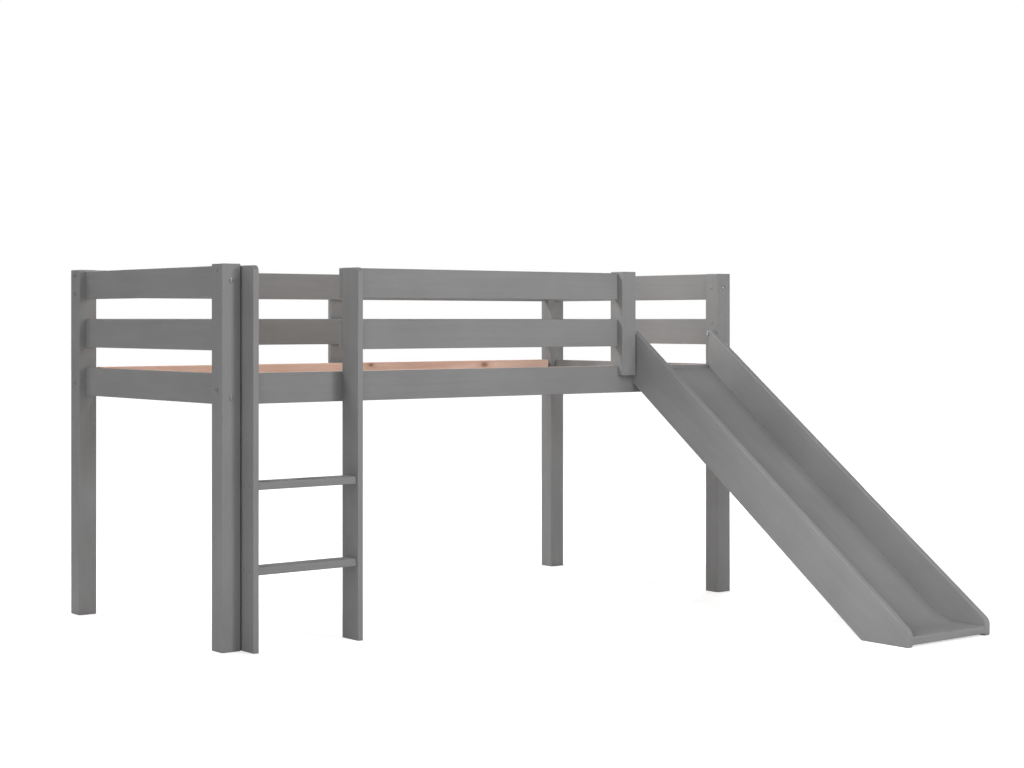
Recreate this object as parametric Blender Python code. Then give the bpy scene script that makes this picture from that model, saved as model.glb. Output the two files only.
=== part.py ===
"""Mid-height loft bed with a ladder and a slide, for a 0.90 x 2.00 m mattress.

Every board, post, bolt and slat is its own object. Lengths are in metres, +Z is
up, +X runs along the bed and the ladder and the slide leave its front, towards -Y.
The origin is on the floor, under the middle of the whole outline.
"""
import math

import bmesh
import bpy
from mathutils import Matrix, Vector

# Bed frame
bed_length = 2.087
bed_width = 0.991
bed_height = 1.140
post_side = 0.062
post_rounding = 0.0022
rail_thickness = 0.018
rail_height = 0.092
rail_spacing = 0.159
rail_rounding = 0.0025
post_rise = 0.005
round_profile = 0.5
joint_gap = 0.0003
cutter_overrun = 0.010
weld_distance = 0.00001

# Guard rails, guard post and the board at the middle of the back
guard_post_overlap = 0.033
back_board_width = 0.059
back_board_thickness = 0.020

# Ladder
ladder_post_gap = 0.0045
ladder_width = 0.386
upright_thickness = 0.019
upright_reach = 0.0650
upright_corner_radius = 0.018
upright_rounding = 0.0020
rung_thickness = 0.024
rung_depth = 0.059
rung_setback = 0.008
rung_rise = 0.250
rung_count = 2
rung_rounding = 0.003
housing_depth = 0.006

# Slide
slide_angle = math.radians(36.32)
slide_width = 0.388
slide_side_gap = 0.0035
slide_panel_thickness = 0.022
slide_panel_rounding = 0.0025
slide_side_above_deck = 0.1100
slide_side_below_deck = 0.0372
slide_entry_drop = 0.011
slide_nose_height = 0.0487
slide_toe_radius = 0.029
slide_toe_bottom_radius = 0.005
slide_head_radius = 0.006
deck_thickness = 0.009
deck_groove_depth = 0.007
deck_bend_radius = 0.190
runout_height = 0.030
front_batten_thickness = 0.0235
front_batten_depth = 0.070
front_batten_lap = 0.020
front_batten_setback = 0.0015
cross_batten_thickness = 0.018
cross_batten_width = 0.045
cross_batten_head_inset = 0.060
bracket_height = 0.016
bracket_thickness = 0.0025
bracket_leg = 0.030
bracket_show = 0.005
bracket_drop = 0.006

# Slatted base
bearer_thickness = 0.020
bearer_height = 0.080
bearer_end_gap = 0.015
back_bearer_rise = 0.0015
ledge_width = 0.022
ledge_height = 0.022
bearer_rounding = 0.0015
slat_count = 12
slat_width = 0.095
slat_thickness = 0.018
slat_end_gap = 0.0015
slat_first_gap = 0.020
slat_rounding = 0.002

# Frame bolts
bolt_head_radius = 0.0085
bolt_head_height = 0.0030
bolt_head_rim = 0.0010
bolt_shank_radius = 0.0030
bolt_grip = 0.040
bolt_clearance = 0.0004
bolt_socket_radius = 0.0030
bolt_socket_depth = 0.0020
end_bolt_top_rise = 0.046
end_bolt_bottom_rise = 0.019
side_bolt_rise = 0.042
top_bolt_low_rise = 0.012
top_bolt_high_rise = 0.074

# Facets
corner_segments = 3
small_segments = 2
arc_segments = 6
bend_segments = 8
bolt_segments = 16
socket_segments = 6

# Colours as linear red, green and blue
grey_paint_colour = (0.245, 0.245, 0.252)
natural_pine_colour = (0.64, 0.39, 0.27)
zinc_colour = (0.44, 0.44, 0.45)

# Places worked out from the sizes
rail_recess = (post_side - rail_thickness) / 2
left_x = -bed_length / 2
right_x = bed_length / 2
top_rail_top = bed_height - post_rise
rail_bottoms = [top_rail_top - rail_height - level * rail_spacing for level in (2, 1, 0)]
side_rail_top = rail_bottoms[0] + rail_height
back_rail_spacing = (bed_height - side_rail_top) / 2
back_rail_bottoms = [rail_bottoms[0] + level * back_rail_spacing for level in range(3)]
slide_slope = math.tan(slide_angle)
deck_entry_z = side_rail_top - slide_entry_drop
panel_top_offset = slide_side_above_deck / math.cos(slide_angle)
panel_bottom_offset = slide_side_below_deck / math.cos(slide_angle)
slide_reach = (deck_entry_z + panel_top_offset - slide_nose_height) / slide_slope - rail_recess
front_y = (slide_reach - bed_width - bolt_head_height - joint_gap) / 2
back_y = front_y + bed_width
rail_front_y = front_y + rail_recess
rail_inner_front_y = rail_front_y + rail_thickness
rail_back_y = back_y - rail_recess
rail_inner_back_y = rail_back_y - rail_thickness
ladder_left_x = left_x + post_side + ladder_post_gap
ladder_right_x = ladder_left_x + ladder_width
guard_start_x = ladder_right_x - upright_thickness
slide_right_x = right_x - post_side - slide_side_gap
slide_left_x = slide_right_x - slide_width
guard_post_right_x = slide_left_x - slide_side_gap
guard_post_left_x = guard_post_right_x - post_side
slide_back_y = rail_front_y - joint_gap
slide_front_y = front_y - slide_reach
ledge_top = side_rail_top - bearer_height + ledge_height
slat_bottom_z = ledge_top + joint_gap


def clear_scene():
    for thing in list(bpy.data.objects):
        bpy.data.objects.remove(thing, do_unlink=True)


def make_material(name, colour, roughness, metallic):
    material = bpy.data.materials.new(name)
    material.use_nodes = True
    shader = material.node_tree.nodes["Principled BSDF"]
    shader.inputs["Base Color"].default_value = (*colour, 1)
    shader.inputs["Roughness"].default_value = roughness
    shader.inputs["Metallic"].default_value = metallic
    return material


def add_object(name, bm, location, material):
    bmesh.ops.recalc_face_normals(bm, faces=bm.faces[:])
    mesh = bpy.data.meshes.new(name)
    bm.to_mesh(mesh)
    bm.free()
    piece = bpy.data.objects.new(name, mesh)
    bpy.context.scene.collection.objects.link(piece)
    piece.location = location
    if material:
        mesh.materials.append(material)
        mesh.shade_smooth()
        mesh.set_sharp_from_angle(angle=math.radians(35))
    return piece


def round_edges(bm, edges, radius, segments):
    bmesh.ops.bevel(
        bm, geom=edges, offset=radius, offset_type='OFFSET', segments=segments,
        profile=round_profile, affect='EDGES', material=-1, clamp_overlap=False)


def box_mesh(low, high):
    """A box the size of the space between two corners, centred on zero."""
    bm = bmesh.new()
    bmesh.ops.create_cube(bm, size=1)
    bmesh.ops.scale(bm, vec=Vector(high) - Vector(low), verts=bm.verts[:])
    return bm


def middle(low, high):
    return (Vector(low) + Vector(high)) / 2


def board(name, low, high, rounding, material):
    """A straight board between two corners, all of its edges eased."""
    bm = box_mesh(low, high)
    round_edges(bm, bm.edges[:], rounding, small_segments)
    return add_object(name, bm, middle(low, high), material)


def add_cutter(name, bm, location):
    cutter = add_object(name, bm, location, None)
    cutter.hide_render = True
    cutter.display_type = 'WIRE'
    return cutter


def box_cutter(name, low, high):
    return add_cutter(name, box_mesh(low, high), middle(low, high))


def cut(piece, cutter):
    boolean = piece.modifiers.new(cutter.name, 'BOOLEAN')
    boolean.operation = 'DIFFERENCE'
    boolean.solver = 'EXACT'
    boolean.object = cutter


def rounded_outline(corners):
    """Points of a closed outline in Y and Z; each corner is (y, z, radius)."""
    points = []
    count = len(corners)
    for index, (y, z, radius) in enumerate(corners):
        here = Vector((y, z))
        before = Vector(corners[index - 1][:2]) - here
        after = Vector(corners[(index + 1) % count][:2]) - here
        if radius == 0:
            points.append(here)
            continue
        half = before.angle(after) / 2
        centre = here + (before.normalized() + after.normalized()).normalized() * radius / math.sin(half)
        start = here + before.normalized() * radius / math.tan(half) - centre
        sweep = math.pi - 2 * half
        side = 1 if before.x * after.y - before.y * after.x < 0 else -1
        for step in range(arc_segments + 1):
            turn = Matrix.Rotation(side * sweep * step / arc_segments, 2)
            points.append(centre + turn @ start)
    return points


def extrude_outline(points, x_low, x_high):
    """A closed solid whose outline in Y and Z is carried along X."""
    bm = bmesh.new()
    ring = [bm.verts.new((x_low, point.x, point.y)) for point in points]
    face = bm.faces.new(ring)
    grown = bmesh.ops.extrude_face_region(bm, geom=[face])
    moved = [item for item in grown["geom"] if isinstance(item, bmesh.types.BMVert)]
    bmesh.ops.translate(bm, verts=moved, vec=(x_high - x_low, 0, 0))
    return bm


def side_face_edges(bm):
    """The edges around the two flat faces that look along X."""
    edges = set()
    for face in bm.faces:
        if len(face.verts) > 4:
            edges.update(face.edges)
    return list(edges)


def shaped_board(name, corners, x_low, x_high, rounding, material):
    bm = extrude_outline(rounded_outline(corners), x_low, x_high)
    round_edges(bm, side_face_edges(bm), rounding, small_segments)
    return add_object(name, bm, (0, 0, 0), material)


def bolt_places():
    """Name, point on the post's face, and outward direction of every frame bolt."""
    centre = post_side / 2
    places = []
    for side, x in (("left", left_x + centre), ("right", right_x - centre)):
        for end, y, way in (("front", front_y, -1), ("back", back_y, 1)):
            heights = (("bottom", rail_bottoms[0] + end_bolt_bottom_rise),
                       ("top", rail_bottoms[2] + end_bolt_top_rise))
            for level, z in heights:
                places.append((f"end_bolt_{end}_{side}_{level}", Vector((x, y, z)), Vector((0, way, 0))))
    for side, x, way in (("left", left_x, -1), ("right", right_x, 1)):
        for end, y in (("front", front_y + centre), ("back", back_y - centre)):
            heights = [("bottom", rail_bottoms[0] + side_bolt_rise)]
            if end == "back":
                heights.append(("top_low", back_rail_bottoms[2] + top_bolt_low_rise))
                heights.append(("top_high", back_rail_bottoms[2] + top_bolt_high_rise))
            for level, z in heights:
                places.append((f"side_bolt_{end}_{side}_{level}", Vector((x, y, z)), Vector((way, 0, 0))))
    return places


def facing(direction):
    """The turn that takes +Z to an outward direction."""
    return Vector((0, 0, 1)).rotation_difference(direction)


def make_bolt_bores():
    bm = bmesh.new()
    radius = bolt_shank_radius + bolt_clearance
    depth = post_side + bolt_grip + bolt_clearance
    for name, point, direction in bolt_places():
        length = depth + cutter_overrun
        centre = point + direction * (cutter_overrun - length / 2)
        place = Matrix.Translation(centre) @ facing(direction).to_matrix().to_4x4()
        bmesh.ops.create_cone(
            bm, cap_ends=True, segments=bolt_segments, radius1=radius, radius2=radius,
            depth=length, matrix=place)
    return add_cutter("bolt_bores", bm, (0, 0, 0))


def bolt_mesh(material):
    """A turned bolt with a low domed head and a hexagon socket, axis on Z."""
    dome = bolt_head_height - bolt_head_rim
    sphere = (bolt_head_radius ** 2 + dome ** 2) / (2 * dome)
    reach = math.asin(bolt_head_radius / sphere)
    profile = []
    for step in range(small_segments + 2):
        angle = reach * step / (small_segments + 1)
        profile.append((sphere * math.sin(angle), bolt_head_height - sphere * (1 - math.cos(angle))))
    profile.append((bolt_head_radius, 0))
    profile.append((bolt_shank_radius, 0))
    profile.append((bolt_shank_radius, -post_side - bolt_grip - joint_gap))
    profile.append((0, -post_side - bolt_grip - joint_gap))
    bm = bmesh.new()
    verts = [bm.verts.new((radius, 0, z)) for radius, z in profile]
    edges = [bm.edges.new(pair) for pair in zip(verts, verts[1:])]
    bmesh.ops.spin(
        bm, geom=verts + edges, cent=(0, 0, 0), axis=(0, 0, 1), dvec=(0, 0, 0),
        angle=2 * math.pi, steps=bolt_segments, use_merge=True)
    bmesh.ops.remove_doubles(bm, verts=bm.verts[:], dist=weld_distance)
    body = add_object("bolt_body", bm, (0, 0, 0), material)
    bm = bmesh.new()
    bmesh.ops.create_cone(
        bm, cap_ends=True, segments=socket_segments, radius1=bolt_socket_radius,
        radius2=bolt_socket_radius, depth=2 * bolt_socket_depth,
        matrix=Matrix.Translation((0, 0, bolt_head_height)))
    socket = add_cutter("bolt_socket", bm, (0, 0, 0))
    cut(body, socket)
    mesh = bpy.data.meshes.new_from_object(body.evaluated_get(bpy.context.evaluated_depsgraph_get()))
    bpy.data.objects.remove(body, do_unlink=True)
    bpy.data.objects.remove(socket, do_unlink=True)
    mesh.name = "frame_bolt"
    return mesh


def make_bolts(material):
    mesh = bolt_mesh(material)
    for name, point, direction in bolt_places():
        bolt = bpy.data.objects.new(name, mesh)
        bpy.context.scene.collection.objects.link(bolt)
        bolt.rotation_mode = 'QUATERNION'
        bolt.rotation_quaternion = facing(direction)
        bolt.location = point + direction * joint_gap


def make_post(name, x_low, y_low, z_low, material):
    low = (x_low, y_low, z_low)
    high = (x_low + post_side, y_low + post_side, bed_height)
    bm = box_mesh(low, high)
    round_edges(bm, bm.edges[:], post_rounding, corner_segments)
    return add_object(name, bm, middle(low, high), material)


def make_posts(bores, paint):
    for side, x in (("left", left_x), ("right", right_x - post_side)):
        for end, y in (("front", front_y), ("back", back_y - post_side)):
            post = make_post(f"post_{end}_{side}", x, y, 0, paint)
            cut(post, bores)


def make_end_rails(bores, paint):
    low_y = front_y + post_side + joint_gap
    high_y = back_y - post_side - joint_gap
    for side, x, heights in (
            ("left", left_x + rail_recess, rail_bottoms),
            ("right", right_x - rail_recess - rail_thickness, back_rail_bottoms)):
        for level, z in zip(("bottom", "middle", "top"), heights):
            rail = board(f"end_rail_{side}_{level}", (x, low_y, z),
                         (x + rail_thickness, high_y, z + rail_height), rail_rounding, paint)
            if level != "middle":
                cut(rail, bores)


def make_back_rails(bores, paint):
    low_x = left_x + post_side + joint_gap
    high_x = right_x - post_side - joint_gap
    for level, z in zip(("bottom", "middle", "top"), back_rail_bottoms):
        rail = board(f"back_rail_{level}", (low_x, rail_inner_back_y, z),
                     (high_x, rail_back_y, z + rail_height), rail_rounding, paint)
        if level != "middle":
            cut(rail, bores)
    board("back_centre_board", (-back_board_width / 2, rail_back_y + joint_gap, rail_bottoms[0]),
          (back_board_width / 2, rail_back_y + joint_gap + back_board_thickness, top_rail_top),
          rail_rounding, paint)


def make_front_rails(bores, paint):
    rail = board("front_side_rail", (left_x + post_side + joint_gap, rail_front_y, rail_bottoms[0]),
                 (right_x - post_side - joint_gap, rail_inner_front_y, side_rail_top),
                 rail_rounding, paint)
    cut(rail, bores)
    for level, z in zip(("middle", "top"), rail_bottoms[1:]):
        board(f"guard_rail_{level}", (guard_start_x, rail_front_y, z),
              (guard_post_left_x - joint_gap, rail_inner_front_y, z + rail_height),
              rail_rounding, paint)


def make_guard_post(paint):
    """A short post that stands on the side rail and laps over its front face."""
    post = make_post("guard_post", guard_post_left_x, front_y, side_rail_top - guard_post_overlap, paint)
    notch = box_cutter(
        "guard_post_notch",
        (guard_post_left_x - cutter_overrun, rail_front_y - joint_gap,
         side_rail_top - guard_post_overlap - cutter_overrun),
        (guard_post_right_x + cutter_overrun, front_y + post_side + cutter_overrun,
         side_rail_top + joint_gap))
    cut(post, notch)


def rung_heights():
    return [rung_rise * (index + 1) for index in range(rung_count)]


def make_ladder(paint):
    front = front_y - upright_reach
    back = rail_front_y - joint_gap
    rung_front = front + rung_setback
    uprights = []
    for side, x in (("left", ladder_left_x), ("right", ladder_right_x - upright_thickness)):
        corners = [(front, 0, 0), (back, 0, 0), (back, top_rail_top, 0),
                   (front, top_rail_top, upright_corner_radius)]
        uprights.append(shaped_board(f"ladder_upright_{side}", corners, x, x + upright_thickness,
                                     upright_rounding, paint))
    low_x = ladder_left_x + upright_thickness - housing_depth
    high_x = ladder_right_x - upright_thickness + housing_depth
    for index, top in enumerate(rung_heights()):
        low = Vector((low_x, rung_front, top - rung_thickness))
        high = Vector((high_x, rung_front + rung_depth, top))
        clearance = Vector((joint_gap, joint_gap, joint_gap))
        housing = box_cutter(f"rung_housing_{index + 1}", low - clearance, high + clearance)
        for upright in uprights:
            cut(upright, housing)
        board(f"ladder_rung_{index + 1}", low, high, rung_rounding, paint)


def deck_height(y):
    """Height of the sloping part of the slide's surface at a depth y."""
    return deck_entry_z + slide_slope * (y - rail_front_y)


def deck_outline(back, front, growth):
    """Outline of the bent deck: a slope, a bend and a level run-out."""
    meet = rail_front_y - (deck_entry_z - runout_height) / slide_slope
    tangent = deck_bend_radius * math.tan(slide_angle / 2)
    centre = Vector((meet - tangent, runout_height + deck_bend_radius))
    upper = [Vector((back, deck_height(back) + growth / math.cos(slide_angle)))]
    lower = [Vector((back, deck_height(back) - (deck_thickness + growth) / math.cos(slide_angle)))]
    for step in range(bend_segments + 1):
        angle = slide_angle * (1 - step / bend_segments)
        ray = Vector((math.sin(angle), -math.cos(angle)))
        upper.append(centre + ray * (deck_bend_radius - growth))
        lower.append(centre + ray * (deck_bend_radius + deck_thickness + growth))
    upper.append(Vector((front, runout_height + growth)))
    lower.append(Vector((front, runout_height - deck_thickness - growth)))
    return upper + lower[::-1]


def make_slide(paint):
    inner_left = slide_left_x + slide_panel_thickness
    inner_right = slide_right_x - slide_panel_thickness
    foot_y = rail_front_y - (deck_entry_z - panel_bottom_offset) / slide_slope
    corners = [
        (slide_back_y, deck_height(slide_back_y) + panel_top_offset, slide_head_radius),
        (slide_back_y, deck_height(slide_back_y) - panel_bottom_offset, 0),
        (foot_y, 0, 0),
        (slide_front_y, 0, slide_toe_bottom_radius),
        (slide_front_y, deck_height(slide_front_y) + panel_top_offset, slide_toe_radius)]
    batten_front = slide_front_y + front_batten_setback
    deck_front = batten_front + front_batten_depth - front_batten_lap
    groove = add_cutter(
        "deck_groove",
        extrude_outline(deck_outline(slide_back_y + cutter_overrun, deck_front - joint_gap, joint_gap),
                        inner_left - deck_groove_depth, inner_right + deck_groove_depth),
        (0, 0, 0))
    for side, x in (("left", slide_left_x), ("right", inner_right)):
        panel = shaped_board(f"slide_panel_{side}", corners, x, x + slide_panel_thickness,
                             slide_panel_rounding, paint)
        cut(panel, groove)
    deck = extrude_outline(
        deck_outline(slide_back_y, deck_front, 0),
        inner_left - deck_groove_depth + joint_gap, inner_right + deck_groove_depth - joint_gap)
    add_object("slide_deck", deck, (0, 0, 0), paint)
    make_front_batten(batten_front, inner_left + joint_gap, inner_right - joint_gap, paint)
    make_cross_battens(inner_left + joint_gap, inner_right - joint_gap, paint)


def make_front_batten(front, x_low, x_high, paint):
    """The batten at the foot, rebated behind so that the deck's end lies on it."""
    bottom = runout_height - front_batten_thickness
    lap_top = runout_height - deck_thickness - joint_gap
    lap_y = front + front_batten_depth - front_batten_lap - joint_gap
    corners = [
        (front, bottom, slide_panel_rounding),
        (front + front_batten_depth, bottom, 0),
        (front + front_batten_depth, lap_top, 0),
        (lap_y, lap_top, 0),
        (lap_y, runout_height, 0),
        (front, runout_height, slide_panel_rounding)]
    batten = extrude_outline(rounded_outline(corners), x_low, x_high)
    add_object("slide_front_batten", batten, (0, 0, 0), paint)


def make_cross_battens(x_low, x_high, paint):
    """Battens across the underside of the deck, turned to its slope."""
    foot = rail_front_y - (deck_entry_z - runout_height) / slide_slope
    head = slide_back_y - cross_batten_head_inset
    places = (("top", head), ("middle", (head + foot) / 2))
    normal = Vector((0, -math.sin(slide_angle), math.cos(slide_angle)))
    drop = deck_thickness + joint_gap + cross_batten_thickness / 2
    for level, y in places:
        bm = box_mesh((x_low, 0, 0), (x_high, cross_batten_width, cross_batten_thickness))
        round_edges(bm, bm.edges[:], slat_rounding, small_segments)
        centre = Vector(((x_low + x_high) / 2, y, deck_height(y))) - normal * drop
        batten = add_object(f"slide_batten_{level}", bm, centre, paint)
        batten.rotation_euler = (slide_angle, 0, 0)


def make_brackets(steel):
    """Angle brackets that hold the head of the slide to the posts beside it."""
    top = deck_height(slide_back_y) + panel_top_offset - bracket_drop
    back = slide_back_y + joint_gap
    thick = bracket_thickness
    for side, post_x, panel_x, way in (
            ("left", guard_post_right_x, slide_left_x + slide_panel_thickness, 1),
            ("right", right_x - post_side, slide_right_x - slide_panel_thickness, -1)):
        near = post_x + way * joint_gap
        far = panel_x + way * bracket_show
        outline = [(near, back), (far, back), (far, back + thick), (near + way * thick, back + thick),
                   (near + way * thick, back + bracket_leg), (near, back + bracket_leg)]
        bm = bmesh.new()
        ring = [bm.verts.new((x, y, top - bracket_height)) for x, y in outline]
        face = bm.faces.new(ring)
        grown = bmesh.ops.extrude_face_region(bm, geom=[face])
        moved = [item for item in grown["geom"] if isinstance(item, bmesh.types.BMVert)]
        bmesh.ops.translate(bm, verts=moved, vec=(0, 0, bracket_height))
        add_object(f"slide_bracket_{side}", bm, (0, 0, 0), steel)


def make_bearer(name, rail_face, way, top, pine):
    """A pine bearer on a side rail's inner face; its ledge carries the slats."""
    wall = rail_face + way * joint_gap
    step = wall + way * bearer_thickness
    lip = step + way * ledge_width
    bottom = ledge_top - ledge_height
    corners = [(wall, bottom, 0), (lip, bottom, bearer_rounding), (lip, ledge_top, bearer_rounding),
               (step, ledge_top, 0), (step, top, bearer_rounding), (wall, top, 0)]
    bm = extrude_outline(rounded_outline(corners), left_x + post_side + bearer_end_gap,
                         right_x - post_side - bearer_end_gap)
    add_object(name, bm, (0, 0, 0), pine)


def make_slatted_base(pine):
    make_bearer("slat_bearer_front", rail_inner_front_y, 1, side_rail_top, pine)
    make_bearer("slat_bearer_back", rail_inner_back_y, -1, side_rail_top + back_bearer_rise, pine)
    inset = joint_gap + bearer_thickness + slat_end_gap
    first = left_x + post_side + slat_first_gap
    last = right_x - post_side - slat_first_gap - slat_width
    pitch = (last - first) / (slat_count - 1)
    for index in range(slat_count):
        x = first + pitch * index
        board(f"slat_{index + 1:02d}", (x, rail_inner_front_y + inset, slat_bottom_z),
              (x + slat_width, rail_inner_back_y - inset, slat_bottom_z + slat_thickness),
              slat_rounding, pine)


def build():
    clear_scene()
    paint = make_material("grey_paint", grey_paint_colour, 0.45, 0.0)
    pine = make_material("natural_pine", natural_pine_colour, 0.6, 0.0)
    zinc = make_material("zinc_plated_steel", zinc_colour, 0.35, 0.9)
    bores = make_bolt_bores()
    make_posts(bores, paint)
    make_end_rails(bores, paint)
    make_back_rails(bores, paint)
    make_front_rails(bores, paint)
    make_guard_post(paint)
    make_ladder(paint)
    make_slide(paint)
    make_brackets(zinc)
    make_slatted_base(pine)
    make_bolts(zinc)


build()
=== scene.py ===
"""Finishes, small fittings, floor and light for the loft bed with its ladder and slide."""
import math

import bmesh
import bpy
from mathutils import Matrix, Vector


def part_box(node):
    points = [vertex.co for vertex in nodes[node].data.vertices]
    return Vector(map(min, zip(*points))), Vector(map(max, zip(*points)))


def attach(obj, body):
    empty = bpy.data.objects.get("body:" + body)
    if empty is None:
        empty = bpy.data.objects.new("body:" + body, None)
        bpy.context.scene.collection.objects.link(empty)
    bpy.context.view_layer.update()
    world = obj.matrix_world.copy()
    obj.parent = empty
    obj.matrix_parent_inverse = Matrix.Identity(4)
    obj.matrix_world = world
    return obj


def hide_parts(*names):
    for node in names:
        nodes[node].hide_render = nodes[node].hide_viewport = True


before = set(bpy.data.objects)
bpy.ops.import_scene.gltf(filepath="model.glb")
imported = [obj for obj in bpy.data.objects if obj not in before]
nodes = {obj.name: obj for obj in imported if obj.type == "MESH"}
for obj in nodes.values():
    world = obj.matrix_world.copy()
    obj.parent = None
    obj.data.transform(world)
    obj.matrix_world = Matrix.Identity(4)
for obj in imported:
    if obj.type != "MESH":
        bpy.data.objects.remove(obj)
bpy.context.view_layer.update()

# Corners of boards, low and high, read from the frame
post_low, post_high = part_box("post_front_left")
far_post_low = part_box("post_front_right")[0]
back_bearer_low, back_bearer_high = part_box("slat_bearer_back")
front_bearer_low, front_bearer_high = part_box("slat_bearer_front")
left_upright_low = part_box("ladder_upright_left")[0]
right_upright_low, right_upright_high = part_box("ladder_upright_right")
back_board_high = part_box("back_centre_board")[1]

# Slide
slide_angle = math.radians(36.32)

# Smoothing of merged copies
merge_distance = 0.00001
smooth_angle = math.radians(50)

# Screws in the slats, bearers, ladder and back board
slat_count = 12
rung_count = 2
screw_radius = 0.0042
screw_dish = 0.0011
screw_stand = 0.0002
screw_slot_width = 0.0010
screw_slot_reach = 0.0026
screw_steps = 20
rung_screw_spread = 0.030
rail_screw_spread = 0.044
bearer_thickness = 0.020
bearer_screw_count = 7
bearer_screw_margin = 0.060
bearer_screw_share = 0.62
slat_screw_inset = 0.011

# Caps over spare bolt holes
cap_radius = 0.0062
cap_height = 0.0012
cap_rounding = 0.0006
cap_shoulder = 0.3
cap_steps = 24
near_cap_heights = (1.058, 1.121)
far_cap_heights = (0.9654, 1.092)

# Grain: a stretch of the pattern along a board, and the span of most of a noise's values
grain_scales = {"x": (0.045, 1, 1), "y": (1, 0.045, 1), "z": (1, 1, 0.045)}
scratch_scale = (1, 1, 12)
noise_span = (0.3, 0.7)

# Grey paint. Tones are stops on a ramp, each a place and a level of grey
grey_coolness = 1.004
paint_tones = ((0.36, 0.219), (0.50, 0.243), (0.64, 0.265))
paint_roughness = (0.42, 0.56)
paint_relief = 0.0004
paint_relief_strength = 0.22
paint_specular = 0.40

# Bare wood. Tones are stops on a ramp, each a place and a colour
pine_tones = (
    (0.34, (0.86, 0.632, 0.534, 1)), (0.47, (0.80, 0.556, 0.457, 1)),
    (0.57, (0.74, 0.475, 0.376, 1)), (0.68, (0.62, 0.355, 0.261, 1)))
spruce_tones = (
    (0.34, (0.76, 0.655, 0.560, 1)), (0.47, (0.71, 0.590, 0.495, 1)),
    (0.57, (0.65, 0.520, 0.425, 1)), (0.68, (0.57, 0.425, 0.335, 1)))
pore_colour = (0.44, 0.25, 0.18, 1)
pore_share = 0.22
wood_roughness = (0.52, 0.70)
wood_relief = 0.0005
wood_relief_strength = 0.30
wood_specular = 0.35

# Knots in the back bearer, each an x, a height and a radius
pine_knots = ((0.1207, 0.809, 0.006), (0.6484, 0.803, 0.009))
knot_stretch = 1.9
knot_edge = (0.55, 1.25)
knot_ring_edge = (0.9, 3.0)
knot_colour = (0.25, 0.11, 0.07, 1)
knot_share = 0.75
knot_ring_colour = (0.46, 0.22, 0.12, 1)
knot_ring_share = 0.35

# Zinc plating
zinc_tones = (
    (0.30, (0.62, 0.62, 0.63, 1)), (0.55, (0.76, 0.76, 0.76, 1)),
    (0.75, (0.84, 0.84, 0.84, 1)))
zinc_roughness = (0.24, 0.44)
zinc_metallic = 0.35

# Lacquer on the heads of bolts and screws
lacquer_tones = ((0.30, 0.20), (0.52, 0.24), (0.72, 0.28))
lacquer_roughness = (0.20, 0.32)
lacquer_metallic = 0.10
lacquer_coat = 0.4
lacquer_coat_roughness = 0.22
metal_relief = 0.0002
metal_relief_strength = 0.15

# Plastic of the hole caps
plastic_tones = ((0.30, 0.20), (0.50, 0.235), (0.70, 0.262))
plastic_roughness = (0.40, 0.55)
plastic_relief = 0.00015
plastic_relief_strength = 0.25

# Floor and room
floor_size = 60.0
floor_colour = (0.75, 0.75, 0.75, 1)
floor_roughness = 0.9
glow_near = 0.62
glow_far = 0.95
glow_reach_near = 2.5
glow_reach_far = 6.0
room_light = 0.222
white = (1, 1, 1, 1)
black = (0, 0, 0, 1)

# Lamps, each a name, place, aim, size, level at its aim and spread in degrees
lamps = (
    ("camera_side_lamp", (-4.2, -4.4, 0.9), (0.0, 0.0, 0.7), 1.6, 0.13, 180),
    ("left_lamp", (-5.2, -0.6, 1.6), (0.0, 0.4, 0.7), 2.0, 0.14, 180),
    ("far_front_lamp", (2.6, -7.3, 2.45), (-0.5, 0.2, 0.8), 1.1, 0.12, 180),
    ("front_lamp", (0.9, -4.2, 1.6), (0.8, -0.6, 0.4), 1.2, 0.22, 180),
    ("slide_lamp", (-0.1, -1.9, 2.6), (0.95, -0.6, 0.45), 0.7, 0.26, 180),
    ("slide_side_lamp", (-0.9, -1.3, 1.0), (0.75, -0.85, 0.30), 0.5, 0.026, 50),
    ("low_right_lamp", (4.5, -1.5, 0.6), (0.5, 0.0, 0.4), 1.5, 0.09, 180),
    ("bed_lamp", (-0.9, 1.0, 2.4), (0.9, 0.1, 0.8), 0.5, 0.25, 180),
    ("back_left_lamp", (-2.6, 3.4, 4.6), (0.0, 0.2, 0.6), 1.2, 0.21, 180),
    ("back_lamp", (-0.6, 2.4, 2.8), (0.6, 0.2, 0.9), 0.6, 0.40, 180),
    ("back_right_lamp", (4.6, 2.6, 2.0), (0.4, 0.2, 0.6), 2.0, 0.34, 180))

# Camera
camera_place = (-3.9064, -4.8400, 0.9742)
camera_turn = math.radians(-38.622)
camera_lens = 67.955
camera_shift = -0.06246
sensor_width = 36.0


class Value:
    """A number that changes over a surface. Sums and products of it add Math nodes."""

    def __init__(self, finish, socket):
        self.finish = finish
        self.socket = socket

    def join(self, operation, first, second):
        made = self.finish.add("ShaderNodeMath", {"operation": operation}, {0: first, 1: second})
        return Value(self.finish, made.outputs[0])

    def __add__(self, other):
        return self.join("ADD", self, other)

    def __radd__(self, other):
        return self.join("ADD", other, self)

    def __sub__(self, other):
        return self.join("SUBTRACT", self, other)

    def __rsub__(self, other):
        return self.join("SUBTRACT", other, self)

    def __mul__(self, other):
        return self.join("MULTIPLY", self, other)

    def __rmul__(self, other):
        return self.join("MULTIPLY", other, self)


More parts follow.
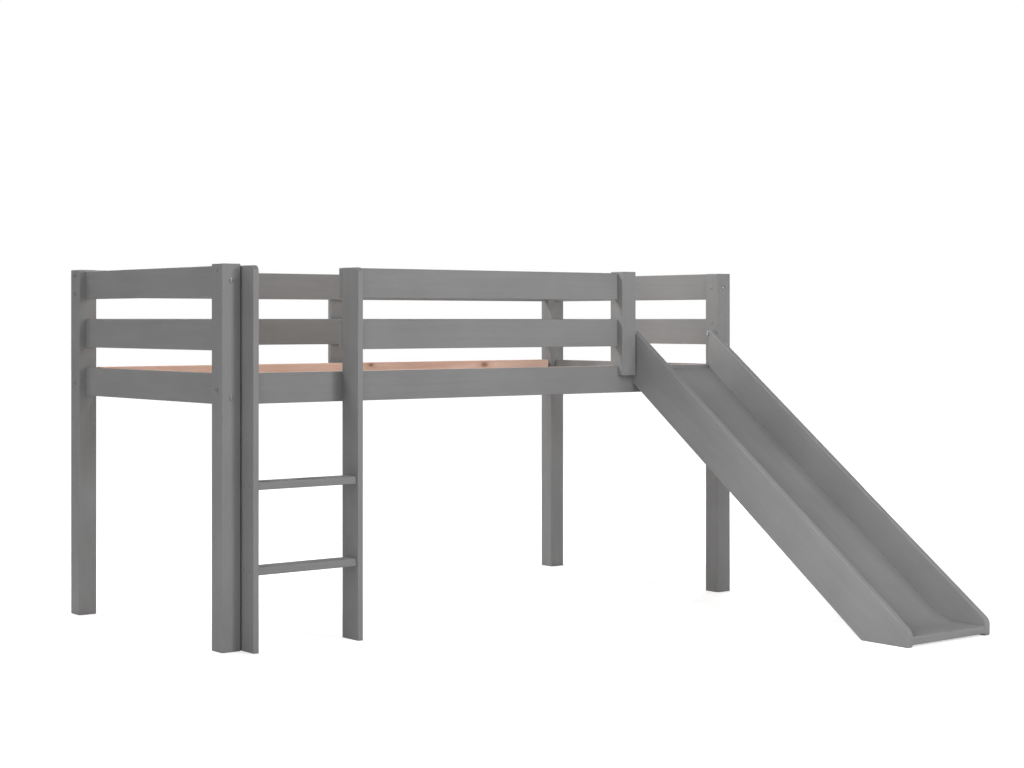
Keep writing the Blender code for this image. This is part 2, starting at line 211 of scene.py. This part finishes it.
class Finish:
    """A node material, written with add() and expressions on values."""

    def __init__(self, name):
        self.material = bpy.data.materials.new(name)
        self.material.use_nodes = True
        self.tree = self.material.node_tree
        self.shader = self.tree.nodes["Principled BSDF"]

    def put(self, socket, value):
        if isinstance(value, Value):
            self.tree.links.new(value.socket, socket)
        elif isinstance(value, bpy.types.NodeSocket):
            self.tree.links.new(value, socket)
        else:
            socket.default_value = value

    def add(self, kind, settings, inputs):
        node = self.tree.nodes.new(kind)
        for name, value in settings.items():
            if name == "stops":
                self.set_stops(node.color_ramp, value)
            else:
                setattr(node, name, value)
        for name, value in inputs.items():
            self.put(node.inputs[name], value)
        return node

    def set_stops(self, ramp, stops):
        while len(ramp.elements) < len(stops):
            ramp.elements.new(1.0)
        for element, (place, colour) in zip(ramp.elements, stops):
            element.position = place
            element.color = colour

    def set(self, **sockets):
        for name, value in sockets.items():
            self.put(self.shader.inputs[name.replace("_", " ")], value)

    def place(self, scale, turn=(0, 0, 0), shift=(0, 0, 0)):
        """Object coordinates, turned first and then stretched."""
        where = self.add("ShaderNodeTexCoord", {}, {}).outputs["Object"]
        turned = self.add("ShaderNodeMapping", {"vector_type": 'POINT'},
                          {"Vector": where, "Rotation": turn, "Location": shift})
        stretched = self.add("ShaderNodeMapping", {"vector_type": 'POINT'},
                             {"Vector": turned.outputs[0], "Scale": scale})
        return stretched.outputs[0]

    def noise(self, where, scale, detail=2.0, roughness=0.5, distortion=0.0):
        made = self.add("ShaderNodeTexNoise", {},
                        {"Vector": where, "Scale": scale, "Detail": detail,
                         "Roughness": roughness, "Distortion": distortion})
        return Value(self, made.outputs[0])

    def ramp(self, factor, stops):
        made = self.add("ShaderNodeValToRGB", {"stops": stops}, {"Fac": factor})
        return made.outputs["Color"]

    def level(self, factor, low, high, to_low=0.0, to_high=1.0):
        made = self.add("ShaderNodeMapRange", {"clamp": True},
                        {"Value": factor, "From Min": low, "From Max": high,
                         "To Min": to_low, "To Max": to_high})
        return Value(self, made.outputs["Result"])

    def mix(self, factor, first, second):
        """A colour between two others. 6, 7 and 2 are the colour sockets of a Mix node."""
        made = self.add("ShaderNodeMix", {"data_type": 'RGBA'},
                        {"Factor": factor, 6: first, 7: second})
        return made.outputs[2]

    def bump(self, height, distance, strength):
        made = self.add("ShaderNodeBump", {},
                        {"Height": height, "Distance": distance, "Strength": strength})
        return made.outputs["Normal"]


def grey(level):
    return (level, level, level * grey_coolness, 1)


def grey_stops(tones):
    return tuple((place, grey(level)) for place, level in tones)


def grey_paint(name, along, turn=(0, 0, 0), shift=(0, 0, 0)):
    """Satin grey paint through which the grain of the board shows faintly."""
    finish = Finish(name)
    stretched = finish.place(grain_scales[along], turn, shift)
    plain = finish.place((1, 1, 1), turn, shift)
    grain = finish.noise(stretched, scale=320.0, detail=4.0, roughness=0.62)
    broad_grain = finish.noise(stretched, scale=70.0, detail=3.0, roughness=0.55, distortion=0.25)
    mottle = finish.noise(plain, scale=5.0)
    stipple = finish.noise(plain, scale=1100.0)
    tone = mottle * 0.35 + broad_grain * 0.25 + grain * 0.28 + stipple * 0.12
    dullness = mottle * 0.4 + stipple * 0.3 + grain * 0.3
    height = grain * 0.55 + broad_grain * 0.20 + stipple * 0.25
    finish.set(
        Base_Color=finish.ramp(tone, grey_stops(paint_tones)),
        Roughness=finish.level(dullness, *noise_span, *paint_roughness),
        Normal=finish.bump(height, paint_relief, paint_relief_strength))
    finish.shader.inputs["Specular IOR Level"].default_value = paint_specular
    return finish.material


def knot_masks(finish, where, knots):
    """Two values that are 1 on the knots and fall to 0: one at their rim, one further out."""
    core = None
    rings = None
    for x, z, radius in knots:
        away = finish.add("ShaderNodeMapping", {"vector_type": 'TEXTURE'},
                          {"Vector": where, "Location": (x, 0, z),
                           "Scale": (radius * knot_stretch, 1, radius)})
        flat = finish.add("ShaderNodeVectorMath", {"operation": 'MULTIPLY'},
                          {0: away.outputs[0], 1: (1, 0, 1)})
        length = finish.add("ShaderNodeVectorMath", {"operation": 'LENGTH'}, {0: flat.outputs[0]})
        reach = Value(finish, length.outputs["Value"])
        near = finish.level(reach, *knot_edge, 1.0, 0.0)
        halo = finish.level(reach, *knot_ring_edge, 1.0, 0.0)
        core = near if core is None else core + near
        rings = halo if rings is None else rings + halo
    return core, rings


def bare_wood(name, along, tones, knots=()):
    """Planed softwood: straight streaks of late wood, pale between, with a few knots."""
    finish = Finish(name)
    where = finish.place((1, 1, 1))
    stretched = finish.place(grain_scales[along])
    warp = finish.noise(stretched, scale=9.0)
    streaks = finish.noise(stretched, scale=95.0, detail=5.0, roughness=0.62, distortion=0.8)
    wide = finish.noise(stretched, scale=26.0, detail=3.0, distortion=1.5)
    pores = finish.noise(stretched, scale=700.0, detail=3.0, roughness=0.6)
    tone = streaks * 0.5 + wide * 0.35 + warp * 0.15
    pore_mask = finish.level(pores, 0.55, 0.75, 0.0, pore_share)
    colour = finish.mix(pore_mask, finish.ramp(tone, tones), pore_colour)
    if knots:
        core, rings = knot_masks(finish, where, knots)
        ring_mask = finish.level(rings, 0.0, 1.0, 0.0, knot_ring_share)
        core_mask = finish.level(core, 0.0, 1.0, 0.0, knot_share)
        colour = finish.mix(ring_mask, colour, knot_ring_colour)
        colour = finish.mix(core_mask, colour, knot_colour)
    finish.set(
        Base_Color=colour,
        Roughness=finish.level(streaks, *noise_span, *wood_roughness),
        Normal=finish.bump(streaks * 0.6 + pores * 0.4, wood_relief, wood_relief_strength))
    finish.shader.inputs["Specular IOR Level"].default_value = wood_specular
    return finish.material


def plated_steel(name):
    """Bright zinc plating on steel, cloudy and a little scratched."""
    finish = Finish(name)
    cloud = finish.noise(finish.place((1, 1, 1)), scale=260.0, detail=3.0, roughness=0.6)
    scratch = finish.noise(finish.place(scratch_scale), scale=900.0)
    finish.set(
        Base_Color=finish.ramp(cloud * 0.7 + scratch * 0.3, zinc_tones),
        Roughness=finish.level(cloud * 0.6 + scratch * 0.4, *noise_span, *zinc_roughness),
        Normal=finish.bump(scratch, metal_relief, metal_relief_strength))
    finish.shader.inputs["Metallic"].default_value = zinc_metallic
    return finish.material


def lacquered_head(name):
    """Grey lacquer over the steel head of a bolt or screw."""
    finish = Finish(name)
    where = finish.place((1, 1, 1))
    cloud = finish.noise(where, scale=300.0, detail=3.0, roughness=0.6)
    speck = finish.noise(where, scale=1400.0)
    finish.set(
        Base_Color=finish.ramp(cloud * 0.6 + speck * 0.4, grey_stops(lacquer_tones)),
        Roughness=finish.level(cloud, *noise_span, *lacquer_roughness),
        Normal=finish.bump(speck, metal_relief, metal_relief_strength))
    finish.shader.inputs["Metallic"].default_value = lacquer_metallic
    finish.shader.inputs["Coat Weight"].default_value = lacquer_coat
    finish.shader.inputs["Coat Roughness"].default_value = lacquer_coat_roughness
    return finish.material


def cap_plastic(name):
    """Moulded grey plastic with a fine spark texture."""
    finish = Finish(name)
    where = finish.place((1, 1, 1))
    spark = finish.noise(where, scale=1800.0)
    cloud = finish.noise(where, scale=120.0)
    finish.set(
        Base_Color=finish.ramp(cloud * 0.7 + spark * 0.3, grey_stops(plastic_tones)),
        Roughness=finish.level(spark, *noise_span, *plastic_roughness),
        Normal=finish.bump(spark, plastic_relief, plastic_relief_strength))
    return finish.material


def merged_copy(node, material):
    """A copy of a node with its corners merged, so that its round faces shade smoothly."""
    mesh = nodes[node].data.copy()
    mesh.name = node + "_smooth"
    bm = bmesh.new()
    bm.from_mesh(mesh)
    bmesh.ops.remove_doubles(bm, verts=bm.verts[:], dist=merge_distance)
    bm.to_mesh(mesh)
    bm.free()
    for name in ("custom_normal", "sharp_edge", "sharp_face"):
        if name in mesh.attributes:
            mesh.attributes.remove(mesh.attributes[name])
    mesh.shade_smooth()
    mesh.set_sharp_from_angle(angle=smooth_angle)
    mesh.materials.clear()
    mesh.materials.append(material)
    piece = bpy.data.objects.new(node + "_smooth", mesh)
    bpy.context.scene.collection.objects.link(piece)
    flats = piece.modifiers.new("flat_faces_stay_flat", 'WEIGHTED_NORMAL')
    flats.mode = 'FACE_AREA_WITH_ANGLE'
    flats.weight = 100
    flats.keep_sharp = True
    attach(piece, "root")
    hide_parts(node)
    return piece


def facing(direction):
    return Vector((0, 0, 1)).rotation_difference(Vector(direction)).to_matrix().to_4x4()


def add_piece(name, bm, material):
    bmesh.ops.recalc_face_normals(bm, faces=bm.faces[:])
    mesh = bpy.data.meshes.new(name)
    bm.to_mesh(mesh)
    bm.free()
    mesh.shade_smooth()
    mesh.set_sharp_from_angle(angle=smooth_angle)
    mesh.materials.append(material)
    piece = bpy.data.objects.new(name, mesh)
    bpy.context.scene.collection.objects.link(piece)
    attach(piece, "root")
    return piece


def turned(profile, steps):
    """A closed solid turned about Z from (radius, height) points that start and end on it."""
    bm = bmesh.new()
    verts = [bm.verts.new((radius, 0, height)) for radius, height in profile]
    edges = [bm.edges.new(pair) for pair in zip(verts, verts[1:])]
    bmesh.ops.spin(bm, geom=verts + edges, cent=(0, 0, 0), axis=(0, 0, 1), dvec=(0, 0, 0),
                   angle=2 * math.pi, steps=steps, use_merge=True)
    bmesh.ops.remove_doubles(bm, verts=bm.verts[:], dist=merge_distance)
    return bm


def screw_head():
    """A small countersunk screw head with a cross recess, its top at zero height."""
    return turned(((0, 0), (screw_radius - screw_stand, 0), (screw_radius, -screw_stand),
                   (screw_radius, -screw_dish), (0, -screw_dish)), screw_steps)


def cross_recess_shade_inlay():
    """The four arms of the recess, as a dark inlay just proud of the head: painted shade in place
    of the hollow that a real recess has.
    """
    bm = bmesh.new()
    for turn in (0, math.pi / 2):
        arm = Matrix.Rotation(turn, 4, 'Z') @ Matrix.Diagonal(
            (2 * screw_slot_reach, screw_slot_width, screw_stand, 1))
        bmesh.ops.create_cube(bm, size=1, matrix=arm)
    return bm


def scatter(name, shape, places, material, lift=0.0):
    """One piece made of a shape at each place, turned to face its direction."""
    whole = bmesh.new()
    for point, direction in places:
        one = shape()
        where = Vector(point) + Vector(direction) * lift
        placed = Matrix.Translation(where) @ facing(direction)
        bmesh.ops.transform(one, matrix=placed, verts=one.verts[:])
        bmesh.ops.recalc_face_normals(one, faces=one.faces[:])
        mesh = bpy.data.meshes.new("single_fitting")
        one.to_mesh(mesh)
        one.free()
        whole.from_mesh(mesh)
        bpy.data.meshes.remove(mesh)
    return add_piece(name, whole, material)


def hole_cap():
    """A low round cap with a rounded rim, its underside at zero height."""
    return turned(((0, cap_height), (cap_radius - cap_rounding, cap_height),
                   (cap_radius - cap_rounding * cap_shoulder, cap_height * (1 - cap_shoulder)),
                   (cap_radius, cap_height * cap_shoulder), (cap_radius, 0), (0, 0)), cap_steps)


def slat_screws():
    places = []
    for number in range(1, slat_count + 1):
        low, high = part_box(f"slat_{number:02d}")
        middle = (low.x + high.x) / 2
        for y in (low.y + slat_screw_inset, high.y - slat_screw_inset):
            places.append(((middle, y, high.z), (0, 0, 1)))
    return places


def bearer_screws():
    places = []
    for low, high, way in (
            (front_bearer_low, front_bearer_high, 1), (back_bearer_low, back_bearer_high, -1)):
        wall = low.y + bearer_thickness if way == 1 else high.y - bearer_thickness
        z = low.z + (high.z - low.z) * bearer_screw_share
        run = high.x - low.x - 2 * bearer_screw_margin
        for index in range(bearer_screw_count):
            x = low.x + bearer_screw_margin + run * index / (bearer_screw_count - 1)
            places.append(((x, wall, z), (0, way, 0)))
    return places


def ladder_screws():
    """Screws through the uprights into the rungs, and through the rails into the uprights."""
    places = []
    for number in range(1, rung_count + 1):
        low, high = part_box(f"ladder_rung_{number}")
        y = (low.y + high.y) / 2
        z = (low.z + high.z) / 2
        for offset in (-rung_screw_spread / 2, rung_screw_spread / 2):
            places.append(((left_upright_low.x, y + offset, z), (-1, 0, 0)))
            places.append(((right_upright_high.x, y + offset, z), (1, 0, 0)))
    x = (right_upright_low.x + right_upright_high.x) / 2
    for rail in ("guard_rail_middle", "guard_rail_top"):
        low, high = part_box(rail)
        for offset in (-rail_screw_spread / 2, rail_screw_spread / 2):
            places.append(((x, high.y, (low.z + high.z) / 2 + offset), (0, 1, 0)))
    return places


def back_board_screws():
    places = []
    for rail in ("back_rail_bottom", "back_rail_middle", "back_rail_top"):
        low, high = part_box(rail)
        for offset in (-rail_screw_spread / 2, rail_screw_spread / 2):
            places.append(((0, back_board_high.y, (low.z + high.z) / 2 + offset), (0, 1, 0)))
    return places


def add_fittings():
    lacquer = lacquered_head("lacquered_screw")
    zinc = plated_steel("zinc_screw")
    # The dark grey of the recess marks is painted shade, standing in for the hollow of a real
    # cross recess.
    recess = cap_plastic("screw_recess_painted_shade")
    for name, places, material in (
            ("slat_screws", slat_screws(), zinc),
            ("bearer_screws", bearer_screws(), zinc),
            ("ladder_screws", ladder_screws(), lacquer),
            ("back_board_screws", back_board_screws(), lacquer)):
        scatter(name, screw_head, places, material, screw_stand)
        # Each screw head gets a dark cross inlay on top, painted shade for its recess.
        scatter(name + "_recesses", cross_recess_shade_inlay, places, recess, screw_stand)
    mid_y = (post_low.y + post_high.y) / 2
    caps = [((post_low.x, mid_y, z), (-1, 0, 0)) for z in near_cap_heights]
    caps += [((far_post_low.x, mid_y, z), (-1, 0, 0)) for z in far_cap_heights]
    scatter("hole_caps", hole_cap, caps, cap_plastic("cap_plastic"))


def dress_bed():
    paint_x = grey_paint("grey_paint_along_x", "x")
    paint_y = grey_paint("grey_paint_along_y", "y", shift=(3.1, 0.7, 1.3))
    paint_z = grey_paint("grey_paint_along_z", "z", shift=(1.7, 2.9, 0.4))
    paint_slope = grey_paint("grey_paint_along_slope", "y",
                             turn=(-slide_angle, 0, 0), shift=(0.3, 1.1, 2.2))
    pine_x = bare_wood("pine_along_x", "x", pine_tones, pine_knots)
    spruce_y = bare_wood("spruce_along_y", "y", spruce_tones)
    steel = plated_steel("zinc_plated_steel_clear")
    head = lacquered_head("lacquered_bolt_head")
    for node in nodes:
        if node.startswith(("post_", "guard_post", "ladder_upright", "back_centre")):
            merged_copy(node, paint_z)
        elif node.startswith("end_rail"):
            merged_copy(node, paint_y)
        elif node.startswith(("back_rail", "front_side", "guard_rail", "ladder_rung",
                              "slide_front", "slide_batten")):
            merged_copy(node, paint_x)
        elif node.startswith(("slide_panel", "slide_deck")):
            merged_copy(node, paint_slope)
        elif node.startswith("slat_bearer"):
            merged_copy(node, pine_x)
        elif node.startswith("slat_"):
            merged_copy(node, spruce_y)
        elif "bolt" in node:
            merged_copy(node, head)
        else:
            merged_copy(node, steel)


def add_floor():
    """A pale floor that glows a little more far from the bed, to meet the room without a line."""
    bm = bmesh.new()
    bmesh.ops.create_grid(bm, x_segments=1, y_segments=1, size=floor_size / 2)
    mesh = bpy.data.meshes.new("floor")
    bm.to_mesh(mesh)
    bm.free()
    finish = Finish("pale_floor")
    seen = Value(finish, finish.add("ShaderNodeLightPath", {}, {}).outputs["Is Camera Ray"])
    where = finish.add("ShaderNodeTexCoord", {}, {}).outputs["Object"]
    away = finish.add("ShaderNodeVectorMath", {"operation": 'LENGTH'}, {0: where}).outputs["Value"]
    glow = seen * finish.level(away, glow_reach_near, glow_reach_far, glow_near, glow_far)
    finish.shader.inputs["Base Color"].default_value = floor_colour
    finish.shader.inputs["Roughness"].default_value = floor_roughness
    finish.shader.inputs["Specular IOR Level"].default_value = 0.0
    finish.shader.inputs["Emission Strength"].default_value = 1.0
    finish.set(Emission_Color=finish.ramp(glow, ((0.0, black), (1.0, white))))
    mesh.materials.append(finish.material)
    floor = bpy.data.objects.new("floor", mesh)
    bpy.context.scene.collection.objects.link(floor)


def add_room_light():
    """Even light from all round, which the camera sees as white."""
    world = bpy.data.worlds.new("white_room")
    bpy.context.scene.world = world
    world.use_nodes = True
    tree = world.node_tree
    background = tree.nodes["Background"]
    background.inputs["Color"].default_value = white
    path = tree.nodes.new("ShaderNodeLightPath")
    strength = tree.nodes.new("ShaderNodeMapRange")
    strength.inputs["To Min"].default_value = room_light
    strength.inputs["To Max"].default_value = 1.0
    tree.links.new(path.outputs["Is Camera Ray"], strength.inputs["Value"])
    tree.links.new(strength.outputs["Result"], background.inputs["Strength"])


def add_lamp(name, place, aim, size, level, spread):
    """A square soft lamp, unseen itself.

    Level is how bright it makes a white board that faces it at its aim, with the light
    spread all round. A narrower spread makes it brighter there.
    """
    away = Vector(place) - Vector(aim)
    light = bpy.data.lights.new(name, 'AREA')
    light.shape = 'SQUARE'
    light.size = size
    light.energy = level * math.pi ** 2 * away.length_squared
    light.spread = math.radians(spread)
    lamp = bpy.data.objects.new(name, light)
    lamp.location = place
    lamp.rotation_mode = 'QUATERNION'
    lamp.rotation_quaternion = away.to_track_quat('Z', 'Y')
    lamp.visible_camera = False
    bpy.context.scene.collection.objects.link(lamp)


def add_camera():
    data = bpy.data.cameras.new("camera")
    data.lens = camera_lens
    data.sensor_width = sensor_width
    data.shift_y = camera_shift
    camera = bpy.data.objects.new("camera", data)
    camera.location = camera_place
    camera.rotation_euler = (math.pi / 2, 0, camera_turn)
    bpy.context.scene.collection.objects.link(camera)
    bpy.context.scene.camera = camera


dress_bed()
add_fittings()
add_floor()
add_room_light()
for lamp in lamps:
    add_lamp(*lamp)
add_camera()

scene = bpy.context.scene
scene.view_settings.view_transform = 'Standard'
